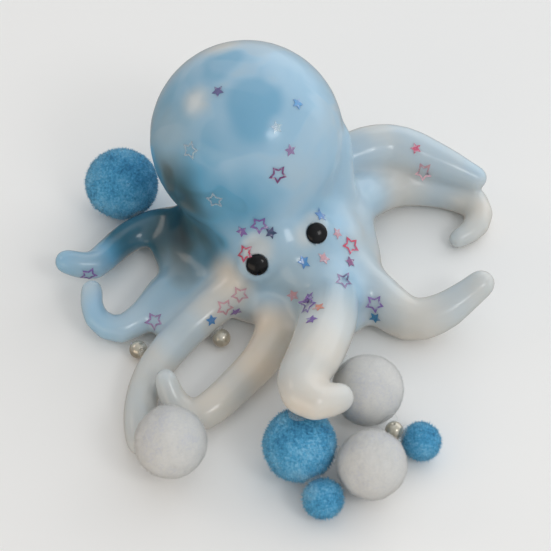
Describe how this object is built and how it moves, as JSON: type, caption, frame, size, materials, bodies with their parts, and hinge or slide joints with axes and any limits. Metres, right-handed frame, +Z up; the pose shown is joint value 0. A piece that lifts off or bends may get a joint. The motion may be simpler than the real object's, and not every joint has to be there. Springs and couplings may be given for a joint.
{
  "type": "octopus ornament",
  "caption": "Cast resin octopus desk ornament with curling arms, bead eyes, inlaid star sequins, and pom-poms and pearl beads glued on.",
  "frame": {"origin": "centre of the trunk's flat base face, which rests on the table", "axes": "+Z up, the face looks towards -Y, +X to the right of someone who faces +Y"},
  "size_m": [0.1176, 0.1244, 0.0606],
  "materials": {
    "tinted_resin": "cast epoxy resin, milky white swirled with pale blue, glossy",
    "eye_black": "polished black half-round bead",
    "pompom_blue": "short velvety blue craft fibre",
    "pompom_white": "short white craft fibre",
    "pearl": "pearlescent coated bead",
    "clear_glue": "clear, slightly cloudy",
    "sequin_violet": "iridescent film under clear resin",
    "sequin_sky": "iridescent film under clear resin",
    "sequin_clear": "iridescent film under clear resin",
    "sequin_pink": "iridescent film under clear resin",
    "sequin_magenta": "iridescent film under clear resin",
    "sequin_purple": "iridescent film under clear resin",
    "sequin_navy": "iridescent film under clear resin",
    "sequin_red": "iridescent film under clear resin",
    "sequin_blue": "iridescent film under clear resin",
    "sequin_orange": "iridescent film under clear resin",
    "sequin_teal": "iridescent film under clear resin",
    "sequin_rose": "iridescent film under clear resin"
  },
  "bodies": {
    "root": {"resin_body": "tinted_resin", "eye_left": "eye_black", "eye_right": "eye_black", "pompom_blue_rear": "pompom_blue", "pompom_white_left": "pompom_white", "pompom_blue_front": "pompom_blue", "pompom_white_middle": "pompom_white", "pompom_white_front": "pompom_white", "pompom_blue_small_front": "pompom_blue", "pompom_blue_small_right": "pompom_blue", "pearl_left": "pearl", "pearl_middle": "pearl", "pearl_right": "pearl", "star_solid_violet_01": "sequin_violet", "star_solid_sky_02": "sequin_sky", "star_solid_clear_03": "sequin_clear", "star_hollow_clear_04": "sequin_clear", "star_solid_rose_05": "sequin_rose", "star_hollow_magenta_06": "sequin_magenta", "star_hollow_clear_07": "sequin_clear", "star_solid_purple_08": "sequin_purple", "star_hollow_purple_09": "sequin_purple", "star_solid_navy_10": "sequin_navy", "star_hollow_red_11": "sequin_red", "star_solid_blue_12": "sequin_blue", "star_solid_pink_13": "sequin_pink", "star_hollow_red_14": "sequin_red", "star_solid_magenta_15": "sequin_magenta", "star_hollow_rose_16": "sequin_rose", "star_solid_blue_17": "sequin_blue", "star_solid_pink_18": "sequin_pink", "star_solid_pink_19": "sequin_pink", "star_solid_purple_20": "sequin_purple", "star_hollow_purple_21": "sequin_purple", "star_solid_orange_22": "sequin_orange", "star_solid_purple_23": "sequin_purple", "star_hollow_purple_24": "sequin_purple", "star_solid_teal_25": "sequin_teal", "star_hollow_pink_26": "sequin_pink", "star_hollow_pink_27": "sequin_pink", "star_solid_blue_28": "sequin_blue", "star_solid_purple_29": "sequin_purple", "star_hollow_rose_30": "sequin_rose", "star_hollow_purple_31": "sequin_purple", "star_solid_red_32": "sequin_red", "star_hollow_pink_33": "sequin_pink", "glue_pompom_blue_rear": "clear_glue", "glue_pompom_white_left_inner": "clear_glue", "glue_pompom_white_left_outer": "clear_glue", "glue_pompom_blue_front": "clear_glue", "glue_pompom_white_middle": "clear_glue", "glue_pompom_white_front": "clear_glue", "glue_pompom_blue_small_front": "clear_glue", "glue_pompom_blue_small_right": "clear_glue", "glue_pearl_left": "clear_glue", "glue_pearl_middle": "clear_glue", "glue_pearl_right": "clear_glue"}
  },
  "joints": []
}
